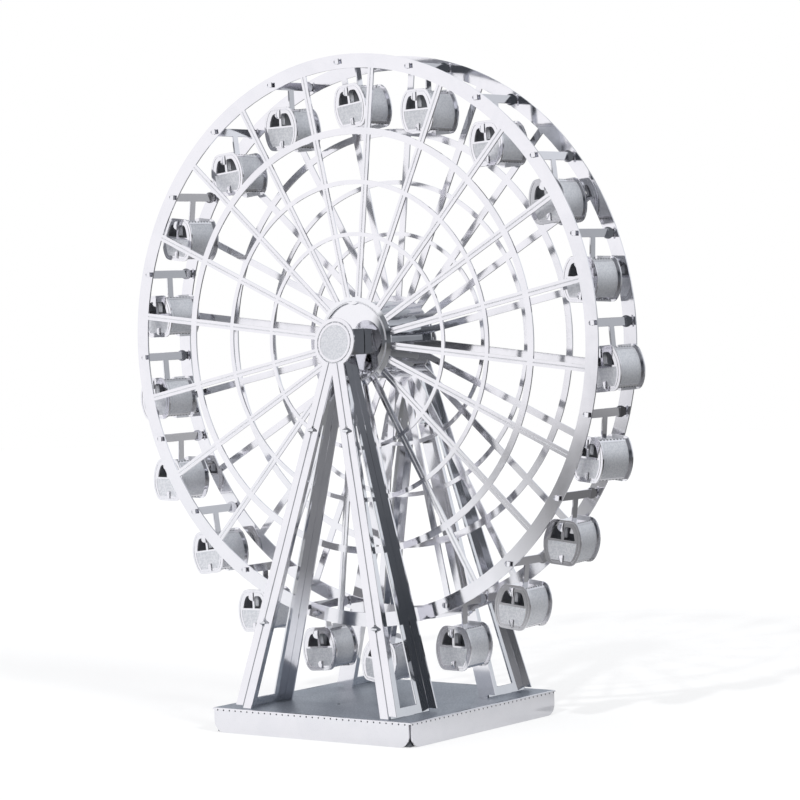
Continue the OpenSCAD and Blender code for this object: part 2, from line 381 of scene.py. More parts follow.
class NodeBench:
    """A node tree with short ways to add nodes and to join them."""

    def __init__(self, tree: NodeTree) -> None:
        """Empties the tree and keeps it."""
        tree.nodes.clear()
        self.tree = tree

    def add(self, kind: str, inputs: dict[object, object] | None = None, **settings: object) -> Node:
        """Adds a node.

        Args:
            kind: the node's type, without its ShaderNode prefix.
            inputs: values or sockets for its inputs, by name or number.
            settings: properties to set.

        Returns:
            The node.
        """
        node = self.tree.nodes.new("ShaderNode" + kind)
        for key, value in settings.items():
            setattr(node, key, value)
        for key, value in (inputs or {}).items():
            if isinstance(value, NodeSocket):
                self.tree.links.new(value, node.inputs[key])
            else:
                node.inputs[key].default_value = value
        return node

    def math(self, operation: str, *values: object) -> NodeSocket:
        """Several values or sockets taken together by Math nodes."""
        whole = values[0]
        for value in values[1:]:
            whole = self.add("Math", {0: whole, 1: value}, operation=operation).outputs[0]
        return whole

    def vector(self, operation: str, first: object, second: object) -> NodeSocket:
        """The result of a Vector Math node on two places or directions."""
        node = self.add("VectorMath", {0: first, 1: second}, operation=operation)
        return node.outputs["Value" if operation == "DOT_PRODUCT" else "Vector"]

    def spread(self, value: object, low: float, high: float, source: Point = (0.0, 1.0)) -> NodeSocket:
        """A value taken from one range to another, and held inside it."""
        return self.add("MapRange", {0: value, 1: source[0], 2: source[1], 3: low, 4: high}).outputs[0]

    def mix(self, share: object, *colours: NodeSocket | Colour) -> NodeSocket:
        """A mix of two colours by a share."""
        first, second = (c if isinstance(c, NodeSocket) else (*c, 1.0) for c in colours)
        return self.add("Mix", {0: share, 6: first, 7: second}, data_type="RGBA").outputs[2]


class GroupBench(NodeBench):
    """A shader node group in the making, with a Vector input."""

    def __init__(self, name: str, scales: dict[str, float]) -> None:
        """Starts the group.

        Args:
            name: its name.
            scales: its number inputs and their defaults.
        """
        super().__init__(bpy.data.node_groups.new(name, "ShaderNodeTree"))
        face = self.tree.interface
        face.new_socket("Vector", in_out="INPUT", socket_type="NodeSocketVector")
        for label, value in scales.items():
            face.new_socket(label, in_out="INPUT", socket_type="NodeSocketFloat").default_value = value
        self.given = self.tree.nodes.new("NodeGroupInput").outputs

    def texture(self, kind: str, scale: str, where: NodeSocket | None = None, **values: float) -> NodeSocket:
        """A Noise or Voronoi texture at one of the group's scales, in its own place or another."""
        inputs = {"Vector": where or self.given["Vector"], "Scale": self.given[scale], **values}
        return self.add("Tex" + kind, inputs).outputs[0]

    def finish(self, outputs: dict[str, NodeSocket]) -> NodeTree:
        """Adds the group's outputs.

        Args:
            outputs: their names and values.

        Returns:
            The group.
        """
        for label in outputs:
            self.tree.interface.new_socket(label, in_out="OUTPUT", socket_type="NodeSocketFloat")
        out = self.tree.nodes.new("NodeGroupOutput").inputs
        for label, value in outputs.items():
            self.tree.links.new(value, out[label])
        return self.tree


def rolled_sheet_group() -> NodeTree:
    """Fine rolling streaks and the slow waves of thin sheet."""
    group = GroupBench("rolled_sheet", {"Streak Scale": 900.0, "Wave Scale": 45.0})
    upright = group.add("Mapping", {"Vector": group.given["Vector"], "Scale": (1.0, 1.0, 0.05)}).outputs[0]
    return group.finish({
        "Streaks": group.texture("Noise", "Streak Scale", upright, Detail=3.0, Roughness=0.6),
        "Waves": group.texture("Noise", "Wave Scale", Detail=1.0, Roughness=0.4)})


def etched_grain_group() -> NodeTree:
    """The pitted grain that the acid leaves."""
    group = GroupBench("etched_grain", {"Grain Scale": 3200.0})
    return group.finish({
        "Grain": group.texture("Noise", "Grain Scale", Detail=4.0, Roughness=0.65),
        "Pits": group.spread(group.texture("Voronoi", "Grain Scale"), 0.0, 1.0, (0.1, 0.7))})


def handling_marks_group() -> NodeTree:
    """Soft smudges left by fingers and by bending the sheet."""
    group = GroupBench("handling_marks", {"Mark Scale": 120.0})
    marks = group.texture("Noise", "Mark Scale", Detail=5.0, Roughness=0.7, Distortion=0.6)
    return group.finish({"Marks": group.spread(marks, 0.0, 1.0, (0.42, 0.68))})


@dataclass(frozen=True)
class SteelFinish:
    """One finish of the steel sheet.

    Attributes:
        name: the material's name.
        tint: its colour where it is clean.
        marked: its colour where it is smudged or pitted.
        roughness: lowest and highest roughness.
        wave: depth of the sheet's slow waves, in metres.
        streak: depth of the rolling streaks, in metres.
        grain: depth of the etched grain, in metres.
        grain_share: how much the grain darkens the colour.
        mark_share: how much the smudges do.
        metal: how metallic it is, where the etched pits scatter some light.
        dome: slope that a polished round cap gains by its rim.
    """

    name: str
    tint: Colour
    marked: Colour
    roughness: Point
    wave: float = 4e-5
    streak: float = 4e-7
    grain: float = 0.0
    grain_share: float = 0.0
    mark_share: float = 0.5
    metal: float = 1.0
    dome: float = 0.0

    def build(self, groups: dict[str, NodeTree], layout: Layout) -> Material:
        """Builds the material.

        Args:
            groups: the shared node groups by name.
            layout: the places on the object.

        Returns:
            The material.
        """
        material = bpy.data.materials.new(self.name)
        material.use_nodes = True
        bench = NodeBench(material.node_tree)
        where = bench.add("TexCoord").outputs["Object"]
        sheet, grain, smudge = (bench.add("Group", node_tree=groups[name]) for name in (
            "rolled_sheet", "etched_grain", "handling_marks"))
        for group in (sheet, grain, smudge):
            bench.tree.links.new(where, group.inputs["Vector"])
        marks, streaks = smudge.outputs["Marks"], sheet.outputs["Streaks"]
        share = bench.math("MAXIMUM", bench.math("MULTIPLY", marks, self.mark_share),
                           bench.math("MULTIPLY", grain.outputs["Pits"], self.grain_share))
        mean = bench.math("MULTIPLY", bench.math("ADD", marks, streaks), 1 / 2)
        height = bench.math("ADD", bench.math("MULTIPLY", sheet.outputs["Waves"], self.wave),
                            bench.math("MULTIPLY", streaks, self.streak),
                            bench.math("MULTIPLY", grain.outputs["Grain"], self.grain))
        if self.dome:
            height = bench.math("SUBTRACT", height, self.bulge(bench, where, layout))
        skin = bench.add("BsdfPrincipled", {
            "Base Color": bench.mix(share, self.tint, self.marked), "Metallic": self.metal,
            "Roughness": bench.spread(mean, *self.roughness),
            "Normal": bench.add("Bump", {"Height": height, "Strength": 1.0, "Distance": 1.0}).outputs[0]})
        bench.add("OutputMaterial", {0: skin.outputs[0]})
        return material

    def bulge(self, bench: NodeBench, where: NodeSocket, layout: Layout) -> NodeSocket:
        """How far a shallow dome about the axle has fallen away.

        Args:
            bench: the material's bench.
            where: the object coordinate.
            layout: the places on the object.

        Returns:
            The fall, in metres.
        """
        centred = bench.vector("SUBTRACT", where, (0.0, 0.0, layout.axle_h * METRES))
        flat = bench.vector("MULTIPLY", centred, (1.0, 0.0, 1.0))
        square = bench.vector("DOT_PRODUCT", flat, flat)
        return bench.math("MULTIPLY", square, square, self.dome / (4 * (layout.drum_r * METRES) ** 3))


FINE = {"wave": 1e-5, "grain": 2e-6, "grain_share": 0.5}


class Finish(Enum):
    """The finishes on the object."""

    BRIGHT = SteelFinish("bright_sheet", (0.86, 0.855, 0.885), (0.78, 0.785, 0.82), (0.06, 0.14))
    MIRROR = SteelFinish("mirror_sheet", (0.86, 0.865, 0.89), (0.80, 0.80, 0.83), (0.02, 0.07), wave=2e-5)
    CAP = SteelFinish("domed_cap", (0.87, 0.87, 0.895), (0.80, 0.80, 0.83), (0.05, 0.09), wave=1e-5,
                      dome=0.19)
    # The drum's steel is tinted darker than the other sheet: painted shade between the two discs.
    DRUM = SteelFinish("drum_band", (0.50, 0.51, 0.54), (0.42, 0.43, 0.46), (0.01, 0.03), wave=1e-5)
    PANEL = SteelFinish("panel_sheet", (0.80, 0.81, 0.835), (0.70, 0.71, 0.74), (0.04, 0.11), wave=6e-5)
    ETCHED = SteelFinish("etched_field", (0.86, 0.865, 0.89), (0.60, 0.62, 0.66), (0.42, 0.55), wave=2e-5,
                         grain=2.5e-6, grain_share=0.65, metal=0.72)
    LINE = SteelFinish("etched_line", (0.84, 0.84, 0.87), (0.74, 0.75, 0.78), (0.40, 0.55),
                       metal=0.75, **FINE)
    GROOVE = SteelFinish("leg_groove", (0.46, 0.47, 0.50), (0.38, 0.39, 0.42), (0.35, 0.50),
                       metal=0.75, **FINE)
    # Steel inside the cabins, darker and rougher than outside: painted shade of the closed cabins.
    INSIDE = SteelFinish("cabin_inside", (0.66, 0.67, 0.70), (0.54, 0.55, 0.58), (0.40, 0.55),
                       metal=0.6, **FINE)
    # Dark steel on the walls of dots, slits and holes and on the tray's corner ears: painted shade of these
    # hollows.
    SHADED = SteelFinish("shaded_inside", (0.26, 0.27, 0.29), (0.18, 0.19, 0.21), (0.45, 0.6), **FINE)
    TRAY = SteelFinish("tray_field", (0.42, 0.45, 0.50), (0.22, 0.25, 0.30), (0.38, 0.5), wave=3e-5,
                       grain=2.5e-6, grain_share=0.9, metal=0.75)


class Bench:
    """Builds the finishes, makes meshes of them and turns the meshes into pieces of the object."""

    def __init__(self, layout: Layout) -> None:
        """Builds the shared groups and the materials.

        Args:
            layout: the places on the object.
        """
        made = (rolled_sheet_group(), etched_grain_group(), handling_marks_group())
        groups = {tree.name: tree for tree in made}
        self.materials = {kind: kind.value.build(groups, layout) for kind in Finish}

    def make(self, name: str, solids: Sequence[Solid], finish: Finish) -> Mesh:
        """One mesh of several solids, in millimetres.

        Args:
            name: the mesh's name.
            solids: what it holds.
            finish: the finish of every face.

        Returns:
            The mesh.
        """
        mesh = bpy.data.meshes.new(name)
        points: list[Vector] = []
        faces: list[tuple[int, ...]] = []
        for solid in solids:
            faces += [tuple(i + len(points) for i in face) for face in solid.faces]
            points += solid.points
        mesh.from_pydata(points, [], faces)
        shape = bmesh.new()
        shape.from_mesh(mesh)
        bmesh.ops.recalc_face_normals(shape, faces=shape.faces)
        shape.to_mesh(mesh)
        shape.free()
        mesh.materials.append(self.materials[finish])
        return mesh

    def copy(self, node: str, finish: Finish, rounding: float = 0.0, segments: int = 1) -> Mesh:
        """A working copy of a CAD node's mesh in millimetres, its facets joined into whole faces.

        Args:
            node: the node's name.
            finish: the finish of every face.
            rounding: how far from its sharp edges their rounding starts.
            segments: faces across the rounding.

        Returns:
            The mesh.
        """
        shape = bmesh.new()
        shape.from_mesh(bpy.data.objects[node].data)
        bmesh.ops.scale(shape, vec=(1 / METRES,) * 3, verts=shape.verts)
        bmesh.ops.remove_doubles(shape, verts=shape.verts, dist=SHEET.merge)
        bmesh.ops.dissolve_limit(shape, angle_limit=radians(SHEET.flat), verts=shape.verts,
                                 edges=shape.edges)
        bmesh.ops.recalc_face_normals(shape, faces=shape.faces)
        for face in shape.faces:
            face.material_index = 0
        mesh = bpy.data.meshes.new(node + "_dressed")
        shape.to_mesh(mesh)
        shape.free()
        mesh.materials.append(self.materials[finish])
        if rounding:
            round_edges(mesh, rounding, segments)
        return mesh

    def cut(self, mesh: Mesh, tools: Sequence[Solid], finish: Finish) -> Mesh:
        """Cuts solids out of a mesh, and gives the cut faces their own finish.

        Args:
            mesh: what is cut, in millimetres.
            tools: what is taken away. They mustn't overlap.
            finish: the finish of the cut faces.

        Returns:
            The cut mesh.
        """
        body = new_object("cut_body", mesh)
        tool = new_object("cut_tool", self.make("cut_tool", tools, finish))
        work = body.modifiers.new("cut", "BOOLEAN")
        work.operation, work.solver, work.object = "DIFFERENCE", "EXACT", tool
        work.material_mode = "TRANSFER"
        graph = bpy.context.evaluated_depsgraph_get()
        result = bpy.data.meshes.new_from_object(body.evaluated_get(graph))
        result.name = mesh.name
        bpy.data.objects.remove(body)
        bpy.data.objects.remove(tool)
        return result

    def paint(self, mesh: Mesh, finish: Finish, chosen: Callable[[MeshPolygon], bool]) -> None:
        """Gives some faces of a mesh another finish.

        Args:
            mesh: the mesh.
            finish: their finish.
            chosen: says which faces.
        """
        slot = slot_of(mesh, self.materials[finish])
        for polygon in mesh.polygons:
            if chosen(polygon):
                polygon.material_index = slot

    def finish_mesh(self, mesh: Mesh) -> None:
        """Scales a mesh to metres and shades it, smooth but for its real edges."""
        mesh.shade_smooth()
        mesh.set_sharp_from_angle(angle=radians(SHEET.smooth))
        for polygon in mesh.polygons:
            polygon.use_smooth = polygon.area < SHEET.smooth_area
        mesh.transform(Matrix.Scale(METRES, 4))
        mesh.update()

    def place(self, name: str, mesh: Mesh, body: str, slot: str, stands_for: Sequence[str],
              matrix: Matrix | None = None) -> None:
        """Makes a piece that rides on a body and stands for CAD nodes.

        Args:
            name: the piece's name.
            mesh: its finished mesh, in metres.
            body: the CAD body it moves with.
            slot: the record's material slot; not used.
            stands_for: the CAD nodes it replaces.
            matrix: where it goes, in metres.
        """
        piece = new_object(name, mesh)
        if matrix is not None:
            piece.matrix_world = matrix
        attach(piece, body)
        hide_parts(*stands_for)
        LOG.info("%s rides on %s, %d faces", name, body, len(mesh.polygons))

    def sheet(self, node: str, mesh: Mesh, body: str, slot: str) -> None:
        """Finishes a mesh and makes it the piece that stands for one CAD node.

        Args:
            node: the node's name.
            mesh: the mesh, in millimetres.
            body: the CAD body it moves with.
            slot: the record's material slot.
        """
        self.finish_mesh(mesh)
        self.place(node + "_sheet", mesh, body, slot, [node])


@dataclass
class Assembly:
    """Pieces that are built together.

    Attributes:
        layout: the places on the object.
        bench: where the meshes are made.
    """

    layout: Layout
    bench: Bench


@dataclass
class Supports(Assembly):
    """The two splayed supports: A-frames, inner frames, side panels and axle boxes.

    Attributes:
        bright_ring: inner and outer radius of the bright line round an A-frame's head.
        line_run_share: how far a leg's line runs, so that it passes the foot.
        tab_shares: how far down the legs the panels' tabs are.
    """

    ring_r: float = 3.45
    field_r: float = 2.95
    bright_ring: Point = (3.38, 3.54)
    foot_x: float = 15.4
    head_out_y: float = 12.0
    line_run_share: float = 1.05
    inner_line_drop: float = 6.0
    fold_r: float = 0.06
    tab_shares: Point = (0.238, 0.764)
    tab_half: float = 1.0
    tab_twist: float = 78.0

    @property
    def rise(self) -> float:
        """Height of the axle above the tray."""
        return self.layout.axle_h - self.layout.tray[1].z

    @property
    def splay(self) -> float:
        """How much further out an A-frame stands at its foot."""
        return self.layout.foot_out_y - self.head_out_y

    def leg_lines(self, length: float, drop: float) -> list[Solid]:
        """The line etched along each leg of a frame drawn upright about the origin.

        Args:
            length: from the axle to the foot.
            drop: how far below the axle the lines start.

        Returns:
            A tool for each line.
        """
        half, depth = SHEET.line_w / 2, SHEET.line_depth
        angle = atan2(self.foot_x, length)
        leg = block((-half, -depth, -length * self.line_run_share), (half, depth, -drop))
        return [leg.moved(Matrix.Rotation(side * angle, 4, "Y")) for side in SIDES]

    def a_frame(self, end: End) -> None:
        """Dresses an A-frame with its etched lines and the matt disc of its head.

        Args:
            end: which end of the axle it stands at.
        """
        node = end.word + "_a_frame"
        lean = Matrix.Rotation(-atan2(self.splay, self.rise), 4, "X")
        place = self.layout.at_axle(end) @ Matrix.Translation((0, -self.head_out_y, 0)) @ lean
        half, depth = SHEET.line_w / 2, SHEET.line_depth
        ring = hoop(self.ring_r - half, self.ring_r + half, -depth, depth)
        lines = [ring] + self.leg_lines(hypot(self.rise, self.splay), self.ring_r + half)
        disc = prism(circle(self.field_r, count=60), -SHEET.field_depth, SHEET.field_depth)
        mesh = self.bench.copy(node, Finish.BRIGHT, SHEET.rounding)
        for tools, finish in ((lines, Finish.GROOVE), ([disc], Finish.ETCHED),
                              ([hoop(*self.bright_ring, -depth, depth)], Finish.LINE)):
            mesh = self.bench.cut(mesh, [tool.moved(place) for tool in tools], finish)
        self.bench.sheet(node, mesh, "stand", "frame_steel")

    def inner_frame(self, end: End) -> None:
        """Dresses an inner frame with the line etched along each leg.

        Args:
            end: which end of the axle it stands at.
        """
        node = end.word + "_inner_frame"
        place = self.layout.at_axle(end) @ Matrix.Translation((0, -self.layout.inner_out_y, 0))
        tools = [leg.moved(place) for leg in self.leg_lines(self.rise, self.inner_line_drop)]
        mesh = self.bench.copy(node, Finish.BRIGHT, SHEET.rounding)
        self.bench.sheet(node, self.bench.cut(mesh, tools, Finish.GROOVE), "stand", "frame_steel")

    def panel(self, end: End, side: int) -> None:
        """Dresses a side panel, its tabs twisted where they come through the legs.

        Args:
            end: which end of the axle it stands at.
            side: -1 for left, 1 for right.
        """
        node = f"{end.word}_{'left' if side < 0 else 'right'}_panel"
        mesh = self.bench.copy(node, Finish.PANEL)
        angle, turn = atan2(self.foot_x, self.rise), radians(self.tab_twist)
        along = Vector((side * sin(angle), 0, -cos(angle)))
        across = Vector((side * cos(angle), 0, sin(angle)))
        axle = Vector((0, 0, self.layout.axle_h))
        for vertex in mesh.vertices:
            rel = vertex.co - axle
            down, off, y = rel.dot(along), rel.dot(across), abs(vertex.co.y)
            for share in self.tab_shares:
                middle = share * hypot(self.foot_x, self.rise)
                passed = (y > self.head_out_y + self.splay * share + SHEET.thick
                          or y < self.layout.inner_out_y - 2 * SHEET.thick)
                if abs(down - middle) < self.tab_half and passed:
                    new_down = middle + (down - middle) * cos(turn) - off * sin(turn)
                    new_off = (down - middle) * sin(turn) + off * cos(turn)
                    vertex.co = axle + along * new_down + across * new_off + Vector((0, vertex.co.y, 0))
        round_edges(mesh, SHEET.rounding)
        self.bench.sheet(node, mesh, "stand", "panel_steel")

    def axle_box(self, end: End) -> None:
        """Dresses a square axle box with rounded folds.

        Args:
            end: which end of the axle it lies at.
        """
        node = end.word + "_axle_box"
        mesh = self.bench.copy(node, Finish.MIRROR, self.fold_r, segments=2)
        self.bench.sheet(node, mesh, "stand", "axle_steel")

    def build(self) -> None:
        """Builds both supports, and gives the axle tube between them its finish."""
        for end in End:
            self.a_frame(end)
            self.inner_frame(end)
            self.axle_box(end)
            for side in SIDES:
                self.panel(end, side)
        tube = bpy.data.objects["axle_tube"]
        tube.data.materials.clear()
        tube.data.materials.append(self.bench.materials[Finish.MIRROR])


@dataclass
class Tray(Assembly):
    """The folded tray that everything stands on.

    Attributes:
        slit: length and width of the slits beside the bends.
        slit_at: how far they lie from the middle, along X and along Y.
        ear: how far the ears reach in from each corner.
    """

    bend_r: float = 0.16
    dot_r: float = 0.15
    dot_drop: float = 0.36
    dot_pitch: float = 1.27
    slit: Point = (4.8, 0.17)
    slit_at: Point = (4.5, 6.0)
    slit_inset: float = 0.5
    hole_r: float = 0.3
    hole: Point = (-3.4, -9.0)
    ear: float = 2.2
    ear_lift: float = 0.1

    def dots(self) -> list[Solid]:
        """The row of small holes along each bend."""
        high = self.layout.tray[1]
        bar = prism(circle(self.dot_r, count=8), -SHEET.overrun, SHEET.thick / 2)
        made = []
        for quarter in range(4):
            half, out = (high.x, high.y) if quarter % 2 == 0 else (high.y, high.x)
            count = int(2 * (half - self.dot_pitch / 2) / self.dot_pitch)
            for i in range(count + 1):
                at = Matrix.Translation(((i - count / 2) * self.dot_pitch, -out, high.z - self.dot_drop))
                made.append(bar.moved(spin(90 * quarter, "Z") @ at))
        return made

    def slits(self) -> list[Solid]:
        """The narrow slits beside the bends, and the small hole in the top."""
        high = self.layout.tray[1]
        long, wide = (size / 2 for size in self.slit)
        top, under = high.z + SHEET.overrun, high.z - SHEET.thick - SHEET.overrun
        made = []
        for out in SIDES:
            for side in SIDES:
                x, y = side * self.slit_at[0], out * (high.y - self.slit_inset)
                made.append(block((x - long, y - wide, under), (x + long, y + wide, top)))
                x, y = out * (high.x - self.slit_inset), side * self.slit_at[1]
                made.append(block((x - wide, y - long, under), (x + wide, y + long, top)))
        drill = prism(circle(self.hole_r, count=16), under, top).moved(spin(90, "X"))
        return made + [drill.moved(Matrix.Translation((*self.hole, 0)))]

    def ears(self) -> list[Solid]:
        """The ears folded inside each corner, which close its gap. Their dark steel is painted shade of the
        tray's hollow inside.
        """
        low, high = self.layout.tray
        return [
            block((x * (high.x - self.ear), y * (high.y - self.ear), low.z + self.ear_lift),
                  (x * (high.x - 2 * SHEET.thick), y * (high.y - 2 * SHEET.thick), high.z - SHEET.thick))
            for x in SIDES for y in SIDES
        ]

    def build(self) -> None:
        """Builds the tray's piece."""
        high = self.layout.tray[1]

        def on_bend(edge: bmesh.types.BMEdge) -> bool:
            """Says whether an edge lies along a bend."""
            ends = [v.co for v in edge.verts]
            return all(abs(p.z - high.z) <= SHEET.close for p in ends) and any(
                all(abs(abs(p[axis]) - high[axis]) < SHEET.close for p in ends) for axis in (0, 1))

        def on_top(polygon: MeshPolygon) -> bool:
            """Says whether a face lies on the flat of the top."""
            return polygon.normal.z > SHEET.facing and polygon.center.z > high.z - SHEET.close

        mesh = self.bench.copy("base_tray", Finish.BRIGHT)
        round_edges(mesh, self.bend_r, segments=4, chosen=on_bend)
        self.bench.paint(mesh, Finish.TRAY, on_top)
        # The walls of the dots and slits, and the ears, get the dark steel: painted shade.
        for tools in (self.dots(), self.slits()):
            mesh = self.bench.cut(mesh, tools, Finish.SHADED)
        mesh = joined("base_tray", [mesh, self.bench.make("ears", self.ears(), Finish.SHADED)])
        self.bench.sheet("base_tray", mesh, "stand", "tray_steel")


@dataclass
class Wheel(Assembly):
    """The two etched discs and the hub between them.

    Attributes:
        rings: each ring's radius, as a share of the pins' circle, and its width.
        dish: how far a cap's face falls away by its rim.
        lip: inner and outer edge of the flange's lip from the drum's radius, and its length.
        cone: start of the cone, from the drum's radius and the lip's face.
        cone_foot: front and back of the cone's edge, from the disc's face.
        side_tab: width and length of the cap tabs at the sides.
        side_bend: a side tab's bend, as height above the cap and share of its length.
        end_tab: length and height of the cap tabs above and below.
        tab_thick: thickness of the side tabs and of the end tabs.
        seam: width and thickness of the drum's lapped seam.
        seam_at: how far it ends inside the drum, and lies outside its radius.
    """

    spokes: int = 20
    flange_r: float = 7.5
    line_depth: float = 0.035
    line_gap: float = 0.2
    rings: tuple[Point, ...] = ((0.383, 0.65), (0.569, 0.75), (0.751, 1.15))
    rim_w: float = 2.4
    dish: float = 0.12
    cap_steps: int = 14
    bore_gap: float = 0.05
    lip_rise: float = 0.44
    lip: tuple[float, float, float] = (-0.04, 0.26, 0.2)
    cone: Point = (0.2, 0.06)
    cone_foot: Point = (-0.02, 0.1)
    side_tab: Point = (0.4, 1.9)
    side_tab_in_share: float = 0.45
    side_bend: tuple[Point, ...] = ((-0.05, 0.0), (0.2, 0.12), (0.3, 0.35),
                                    (0.18, 0.6), (-0.12, 0.8), (-0.16, 1.0))
    end_tab: Point = (2.2, 0.7)
    end_tab_rise: float = 0.1
    end_tab_twist: float = 40.0
    end_tab_steps: int = 8
    tip_share: float = 0.25
    tab_thick: Point = (0.22, 0.14)
    seam: Point = (1.1, 0.2)
    seam_at: Point = (0.2, 0.1)
    seam_turn: float = 215.0

    def spoke_lines(self) -> list[Solid]:
        """The line along each spoke, broken where a ring crosses it."""
        rings = [(share * self.layout.pin_r, width / 2) for share, width in self.rings]
        starts = [self.flange_r + self.line_gap] + [r + half for r, half in rings]
        ends = [r - half for r, half in rings] + [self.layout.pin_r - self.rim_w / 2]
        out, half = self.layout.disc_out_y, SHEET.line_w / 2
        made = []
        for i in range(self.spokes):
            turn = Matrix.Rotation(self.layout.phase + tau * (i + 0.5) / self.spokes, 4, "Y")
            for start, end in zip(starts, ends):
                low = (-half, -out - self.line_depth, start)
                made.append(block(low, (half, -out + self.line_depth, end)).moved(turn))
        return made

    def disc(self, end: End) -> None:
        """Dresses a disc with its lines, and with the lip and cone of the hub flange.

        Args:
            end: which end of the axle it is at.
        """
        node = end.word + "_wheel_disc"
        place = self.layout.at_axle(end)
        face, drum_r = -self.layout.disc_out_y, self.layout.drum_r
        top = face - self.lip_rise
        inner, outer, length = self.lip
        lip = hoop(drum_r + inner, drum_r + outer, top, top + length)
        start, (front, back) = drum_r + self.cone[0], self.cone_foot
        cone = turned([(start, top + self.cone[1]), (self.flange_r, face + front),
                       (self.flange_r, face + back), (start, face + back)])
        mesh = self.bench.copy(node, Finish.BRIGHT, SHEET.rounding)
        mesh = self.bench.cut(mesh, [line.moved(place) for line in self.spoke_lines()], Finish.LINE)
        mesh = joined(node, [mesh, self.bench.make("cone", [cone.moved(place)], Finish.MIRROR),
                             self.bench.make("lip", [lip.moved(place)], Finish.LINE)])
        self.bench.sheet(node, mesh, "wheel", "disc_steel")

    def cap(self, end: End) -> None:
        """Builds a polished hub cap, a little dished, with its four bent tabs.

        Args:
            end: which end of the axle it is at.
        """
        node = end.word + "_hub_cap"
        face, drum_r = -self.layout.cap_out_y, self.layout.drum_r
        bore = span("axle_tube")[1].x + self.bore_gap
        radii = [bore + (drum_r - bore) * i / self.cap_steps for i in range(self.cap_steps + 1)]
        section = [(r, face + self.dish * (r / drum_r) ** 4) for r in radii]
        section += [(r, face + SHEET.thick) for r in (drum_r, bore)]
        width, reach = self.side_tab
        inner = drum_r - reach * self.side_tab_in_share
        path = [(face - rise, inner + reach * share) for rise, share in self.side_bend]
        tabs = (self.lozenge(face - self.end_tab_rise), strip(path, width, self.tab_thick[0]))
        solids = [turned(section)] + [tabs[quarter % 2].moved(spin(90 * quarter)) for quarter in range(4)]
        place = self.layout.at_axle(end)
        mesh = self.bench.make(node, [solid.moved(place) for solid in solids], Finish.CAP)
        self.bench.sheet(node, mesh, "wheel", "hub_steel")

    def lozenge(self, y: float) -> Solid:
        """The twisted end of a cap tab, seen from the front as a small lozenge.

        Args:
            y: where its middle lies along the axle.

        Returns:
            The solid.
        """
        (long, tall), side = self.end_tab, self.tab_thick[1] / 2
        rings = []
        for share in (i / self.end_tab_steps for i in range(self.end_tab_steps + 1)):
            turn = radians(self.end_tab_twist * (1 - 2 * share))
            half = tall * (self.tip_share + (1 - self.tip_share) * sin(pi * share)) / 2
            rings.append([
                Vector((long * (share - 0.5), y + v * sin(turn) + u, self.layout.drum_r + v * cos(turn)))
                for u, v in ((-side, -half), (side, -half), (side, half), (-side, half))])
        return stacked(rings)

    def drum(self) -> None:
        """Builds the rolled drum with its lapped seam, its steel darkened as painted shade between the
        discs.
        """
        half, r = self.layout.disc_in_y, self.layout.drum_r
        end, rise = self.seam_at
        lap = strip([(-half + end, r + rise), (half - end, r + rise)], *self.seam)
        seam = lap.moved(spin(self.seam_turn))
        place = self.layout.at_axle(End.FRONT)
        solids = [solid.moved(place) for solid in (hoop(r - SHEET.thick, r, -half, half, count=160), seam)]
        self.bench.sheet("hub_drum", self.bench.make("hub_drum", solids, Finish.DRUM), "wheel", "hub_steel")

    def build(self) -> None:
        """Builds the wheel."""
        for end in End:
            self.disc(end)
            self.cap(end)
        self.drum()


